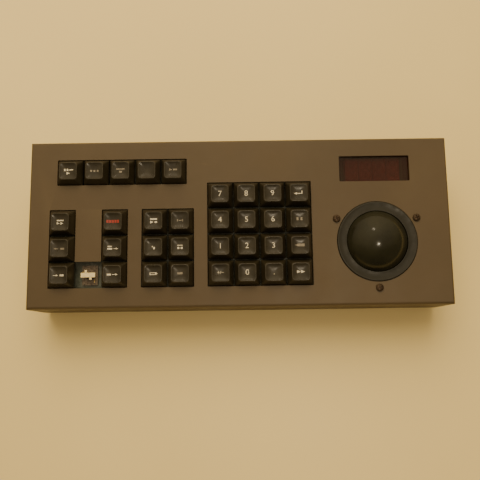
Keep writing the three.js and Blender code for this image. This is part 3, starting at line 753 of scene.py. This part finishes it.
def housing(bm, x, y):
    """One switch's body with its collar, stem slot, clips and contacts."""
    part = bmesh.new()
    block(part, -6.2, 6.2, -7.7, 7.7, HOUSING_BOTTOM, HOUSING_SHOULDER, 0.6)
    wide, deep = SLOT_HALF_WIDTH, SLOT_HALF_DEPTH
    collar = ((-5.7, -wide, -7.2, 7.2), (wide, 5.7, -7.2, 7.2),
              (-wide, wide, deep, 7.2), (-wide, wide, -7.2, -deep))
    for x0, x1, y0, y1 in collar:
        block(part, x0, x1, y0, y1, HOUSING_SHOULDER, COLLAR_TOP, 0.3)
    for side in (-1, 1):
        block(part, side * 4.4 - 0.9, side * 4.4 + 0.9, -6.6, -3.4, COLLAR_TOP, -6.2, 0.2)
        block(part, side * 4.4 - 0.5, side * 4.4 + 0.5, 3.2, 6.4, COLLAR_TOP, -6.25, 0.2)
    block(part, -1.6, 1.6, 4.6, 6.9, COLLAR_TOP, -6.2, 0.2)
    mesh = bpy.data.meshes.new("housing")
    part.to_mesh(mesh)
    mesh.transform(Matrix.Translation((x, y, 0)))
    bm.from_mesh(mesh)


def stem_slots():
    """The slots that the stems slide down, to cut through the plate and into the housings."""
    slots = bmesh.new()
    for x, y in KEYS.values():
        slot = rectangle(x - SLOT_HALF_WIDTH, x + SLOT_HALF_WIDTH, y - SLOT_HALF_DEPTH, y + SLOT_HALF_DEPTH)
        prism(slots, outline(slot, 0.25, 3), SLOT_BOTTOM, COLLAR_TOP + 1.5)
    return into_mesh("stem_slots", slots, PANEL)


bm = bmesh.new()
for x, y in KEYS.values():
    housing(bm, x, y)
add("switch_bodies", into_mesh("switch_bodies", bm, PANEL), HOUSING, "case", bevel=0.12,
    cuts=[stem_slots()])

bm = bmesh.new()
block(bm, -147, 58, -52, 52, PLATE_BOTTOM, PLATE_TOP, 2)
for sx, sy in ((-142, 46), (-142, -32), (-5, 46), (52, 46)):
    block(bm, sx - 3, sx + 3, sy - 3, sy + 3, -8, -SHEET - GAP)
add("switch_plate_sheet", into_mesh("switch_plate_sheet", bm, PANEL), PLATE, "case",
    ["switch_plate"], bevel=0.2, cuts=[stem_slots()])

x, y = KEYS["slider"]
bm = bmesh.new()
block(bm, -5.2, 5.2, -1.7, 1.7, -2.3, SLIDER_TOP, 0.3)
for k in range(5):
    block(bm, -4.6 + 2 * k, -3.6 + 2 * k, -1.72, 1.72, -1.2, -1.02, 0.1)
block(bm, -2.4, -0.8, 1.2, 3.6, -2.3, SLIDER_TOP, 0.25)
block(bm, 1.1, 2.7, -3.4, -1.2, -2.3, SLIDER_TOP, 0.25)
block(bm, -2.5, 2.5, -1.5, 1.5, STEM_BOTTOM, -1.5, 0.3)
add("bare_slider_bar", into_mesh("bare_slider_bar", bm, PANEL @ Matrix.Translation((x, y, 0))), SLIDER,
    "bare_slider_body", ["bare_slider"], bevel=0.14)
bm = bmesh.new()
block(bm, -5.6, -3.0, 2.2, 2.75, -6.4, -5.6, 0.1)
block(bm, 3.2, 3.7, -5.6, -3.4, -6.4, -5.8, 0.1)
add("bare_switch_contact", into_mesh("bare_switch_contact", bm, PANEL @ Matrix.Translation((x, y, 0))), BRASS,
    "case", bevel=0.08)


# ------------------------------------------------------------------ trackball

bm = bmesh.new()
bmesh.ops.create_uvsphere(bm, u_segments=128, v_segments=80, radius=BALL_RADIUS - 0.08)
bmesh.ops.transform(bm, matrix=Matrix.Translation(BALL), verts=bm.verts)
add("trackball_ball", into_mesh("trackball_ball", bm, PANEL), BALL_RESIN, "trackball_body",
    ["trackball"])

bm = bmesh.new()
rim = [(RING_OUTER - inward, z) for inward, z in
       ((0, -1.5), (0, 0.35), (0.12, 0.62), (0.4, 0.84), (0.75, 0.88), (1.2, 0.78))]
dish = [(27.0, 0.55), (25.6, 0.38), (24.2, 0.32), (23.2, 0.42), (22.7, 0.55), (22.4, 0.5), (22.28, 0.3),
        (22.3, 0.1)]
lathe(bm, [(23.5, -1.5)] + rim + dish, 144, (BALL.x, BALL.y), closed=True)
add("trackball_ring_dish", into_mesh("trackball_ring_dish", bm, PANEL), RING, "case",
    ["trackball_ring"])

for i, (sx, sy) in enumerate(ring_screws()):
    heads, recesses = bmesh.new(), bmesh.new()
    screw_head(heads, recesses, Matrix.Translation((sx, sy, 0.28)), 2.75, 1.35)
    lathe(heads, [(0, -6.6), (1.4, -6.6), (1.4, 0.4), (0, 0.4)], 24, (sx, sy))
    node = f"ring_screw_{i + 1}"
    add(node + "_head", into_mesh(node + "_head", heads, PANEL), DARK_STEEL, "case", [node],
        cuts=[into_mesh(node + "_recess", recesses, PANEL)])


# ------------------------------------------------------------------ display

x, y, width, depth = WINDOW
bm = bmesh.new()
half_width, half_depth = width / 2 + 3, depth / 2 + 2.5
pane = rectangle(x - half_width, x + half_width, y - half_depth, y + half_depth)
prism(bm, outline(pane, 1.5, 4), -3.8, -SHEET - GAP)
add("display_filter", into_mesh("display_filter", bm, PANEL), WINDOW_RED, "case",
    ["display_window"], bevel=0.15)

DIGIT_WIDTH = 10.2
DIGIT_COUNT = 4
DIGIT_TOP = -5.5
bm = bmesh.new()
for k in range(DIGIT_COUNT):
    cx = x + (k - (DIGIT_COUNT - 1) / 2) * DIGIT_WIDTH
    block(bm, cx - 4.95, cx + 4.95, y - 8.8, y + 8.8, -11.5, -5.55, 0.4)
add("led_digit_blocks", into_mesh("led_digit_blocks", bm, PANEL), DIGIT_FACE, "case",
    ["led_digits"], bevel=0.15)

# Seven segments: the middle of each, and whether it lies across the digit.
SEGMENTS = [(0, 6, True), (0, 0, True), (0, -6, True),
            (-2.7, 3, False), (2.7, 3, False), (-2.7, -3, False), (2.7, -3, False)]
LEAN = 0.12


def segment_outline(across):
    """A bar with pointed ends, about its own middle."""
    if across:
        w, h = 2.1, 0.55
        return [(-w, 0), (-w + 0.5, -h), (w - 0.5, -h), (w, 0), (w - 0.5, h), (-w + 0.5, h)]
    w, h = 0.55, 2.3
    return [(0, -h), (w, -h + 0.5), (w, h - 0.5), (0, h), (-w, h - 0.5), (-w, -h + 0.5)]


bm = bmesh.new()
for k in range(DIGIT_COUNT):
    cx = x + (k - (DIGIT_COUNT - 1) / 2) * DIGIT_WIDTH
    for sx, sy, across in SEGMENTS:
        points = [(cx + sx + dx + (sy + dy) * LEAN, y + sy + dy) for dx, dy in segment_outline(across)]
        prism(bm, points, -5.8, DIGIT_TOP)
    lathe(bm, [(0, -5.8), (0.7, -5.8), (0.7, DIGIT_TOP), (0, DIGIT_TOP)], 16, (cx + 3.6, y - 6.4))
add("led_segments", into_mesh("led_segments", bm, PANEL), SEGMENT, "case")


# ------------------------------------------------------------------ rear socket

def back_face(x, z, y):
    """A world place from a socket's own x and z, and y outwards from the back wall."""
    return (SOCKET.x + x, SOCKET.y + y, SOCKET.z + z)


def socket_prism(bm, points, y0, y1):
    prism(bm, points, y0, y1, lift=lambda px, pz, py: back_face(px, pz, py))


PIN_HOLE_RADIUS = 0.62
JACKSCREW_REACH = 12.5


def regular_polygon(x, z, radius, sides):
    turns = [2 * math.pi * k / sides for k in range(sides)]
    return [(x + radius * math.cos(turn), z + radius * math.sin(turn)) for turn in turns]


def d_shape(grow=0.0):
    """The socket's D-shaped outline."""
    return outline([(-7.6 - grow, -4.2 - grow), (7.6 + grow, -4.2 - grow), (8.5 + grow, 4.2 + grow),
                    (-8.5 - grow, 4.2 + grow)], 2.0, 6)


bm = bmesh.new()
flange = outline(rectangle(-15.4, 15.4, -6.2, 6.2), 1.2, 4)
socket_prism(bm, flange, 0.3, 1.3)
tools = bmesh.new()
socket_prism(tools, d_shape(-0.5), 0.9, 8)
flange_mesh = into_mesh("data_socket_shell", bm)
shell = bmesh.new()
shell.from_mesh(flange_mesh)
bmesh.ops.transform(shell, matrix=Matrix.Scale(1 / MM, 4), verts=shell.verts)
socket_prism(shell, d_shape(), 0.8, 6.5)
add("data_socket_shell", into_mesh("data_socket_shell", shell), NICKEL, "case", ["data_socket"],
    bevel=0.15, cuts=[into_mesh("shell_tool", tools)])
bm = bmesh.new()
socket_prism(bm, d_shape(-0.6), 0.95, 6.2)
pins = bmesh.new()
for count, z in ((5, 1.4), (4, -1.4)):
    for k in range(count):
        px = (k - (count - 1) / 2) * 2.76
        socket_prism(pins, regular_polygon(px, z, PIN_HOLE_RADIUS, 12), 3, 8)
add("data_socket_insert", into_mesh("data_socket_insert", bm), SOCKET_BLACK, "case", bevel=0.1,
    cuts=[into_mesh("pin_tool", pins)])
bm = bmesh.new()
socket_prism(bm, rectangle(-9.5, 9.5, -5.3, 5.3), -12, 0.2)
add("data_socket_body", into_mesh("data_socket_body", bm), SOCKET_BLACK, "case", bevel=0.3)

for node, side in (("jackscrew_left", -1), ("jackscrew_right", 1)):
    bm = bmesh.new()
    socket_prism(bm, regular_polygon(side * JACKSCREW_REACH, 0, 2.7, 6), 1.6, 6.1)
    bore = bmesh.new()
    socket_prism(bore, regular_polygon(side * JACKSCREW_REACH, 0, 1.2, 16), 2.6, 9)
    add(node + "_hex", into_mesh(node + "_hex", bm), NICKEL, "case", [node], bevel=0.2,
        cuts=[into_mesh("bore_tool", bore)])


# ------------------------------------------------------------------ carried-over CAD nodes

for node, material in {
    "main_board": BOARD, "encoder_board": BOARD, "display_board": BOARD, "trackball_frame": FRAME_PLASTIC,
    "roller_x": STEEL, "roller_y": STEEL, "idler": STEEL, "data_ribbon": CABLE, "trackball_ribbon": CABLE,
}.items():
    mesh_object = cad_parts[node]
    mesh_object.data.materials.clear()
    mesh_object.data.materials.append(material)


# ------------------------------------------------------------------ stage, lights and camera

def floor_material():
    n = Nodes("floor_laminate")
    mottle = n.mix(n.spread(n.noise(3, 5), 0.3, 0.7), (0.66, 0.5, 0.2), (0.73, 0.56, 0.235))
    n.link(mottle, n.shader.inputs["Base Color"])
    n.link(n.spread(n.noise(12, 4), 0.3, 0.7, 0.45, 0.6), n.shader.inputs["Roughness"])
    n.bump(n.noise(500, 2), 0.05, 0.0001)
    return n.material


bm = bmesh.new()
bmesh.ops.create_grid(bm, x_segments=2, y_segments=2, size=3000)
floor = bpy.data.objects.new("floor", into_mesh("floor", bm))
floor.data.materials.append(floor_material())
floor.location.z = -0.0002
bpy.context.scene.collection.objects.link(floor)


def area_light(name, place, target, size, power, colour, glossy=True):
    light = bpy.data.lights.new(name, "AREA")
    light.shape = "DISK"
    light.size = size
    light.energy = power
    light.color = colour
    obj = bpy.data.objects.new(name, light)
    obj.location = place
    obj.rotation_euler = (Vector(target) - Vector(place)).to_track_quat("-Z", "Y").to_euler()
    obj.visible_glossy = glossy
    bpy.context.scene.collection.objects.link(obj)


area_light("ceiling", (-0.1, 0.62, 0.85), (0, 0.05, 0), 1.1, 16, (1, 0.86, 0.6), glossy=False)
area_light("front_fill", (0, -1.3, 0.25), (0, 0, 0.03), 0.8, 4, (1, 0.84, 0.58), glossy=False)
area_light("lamp", (0.2, -0.36, 1.4), (0, 0, 0), 0.09, 3.2, (1, 0.84, 0.6))
area_light("far_lamp", (-0.11, 1.02, 1.42), (0, 0, 0), 0.12, 1.3, (1, 0.84, 0.6))


def room_light():
    """A warm room that is bright overhead and behind the panel, and dim in front."""
    world = bpy.data.worlds.new("studio")
    bpy.context.scene.world = world
    world.use_nodes = True
    tree = world.node_tree
    background = tree.nodes["Background"]
    background.inputs["Color"].default_value = (1, 0.8, 0.5, 1)
    coords = tree.nodes.new("ShaderNodeTexCoord")
    towards = tree.nodes.new("ShaderNodeVectorMath")
    towards.operation = "DOT_PRODUCT"
    towards.inputs[1].default_value = Vector((-0.1, 0.65, 0.75)).normalized()
    tree.links.new(coords.outputs["Generated"], towards.inputs[0])
    strength = tree.nodes.new("ShaderNodeMapRange")
    strength.inputs["From Min"].default_value = 0.15
    strength.inputs["From Max"].default_value = 1.0
    strength.inputs["To Min"].default_value = 0.1
    strength.inputs["To Max"].default_value = 0.95
    tree.links.new(towards.outputs["Value"], strength.inputs["Value"])
    tree.links.new(strength.outputs["Result"], background.inputs["Strength"])


room_light()

eye = PANEL @ Vector((0.3, -57.4, 360.2))
forward = (PANEL.to_3x3() @ Vector((0, 0.121, -0.9927))).normalized()
right = (PANEL.to_3x3() @ Vector((0.9999, -0.0140, -0.0017))).normalized()
up = right.cross(forward).normalized()
right = forward.cross(up).normalized()
camera = bpy.data.objects.new("camera", bpy.data.cameras.new("camera"))
camera.data.lens = 37.5
camera.data.sensor_width = 36
camera.data.clip_start = 0.01
camera.matrix_world = Matrix.Translation(eye * MM) @ Matrix((right, up, -forward)).transposed().to_4x4()
bpy.context.scene.collection.objects.link(camera)
bpy.context.scene.camera = camera
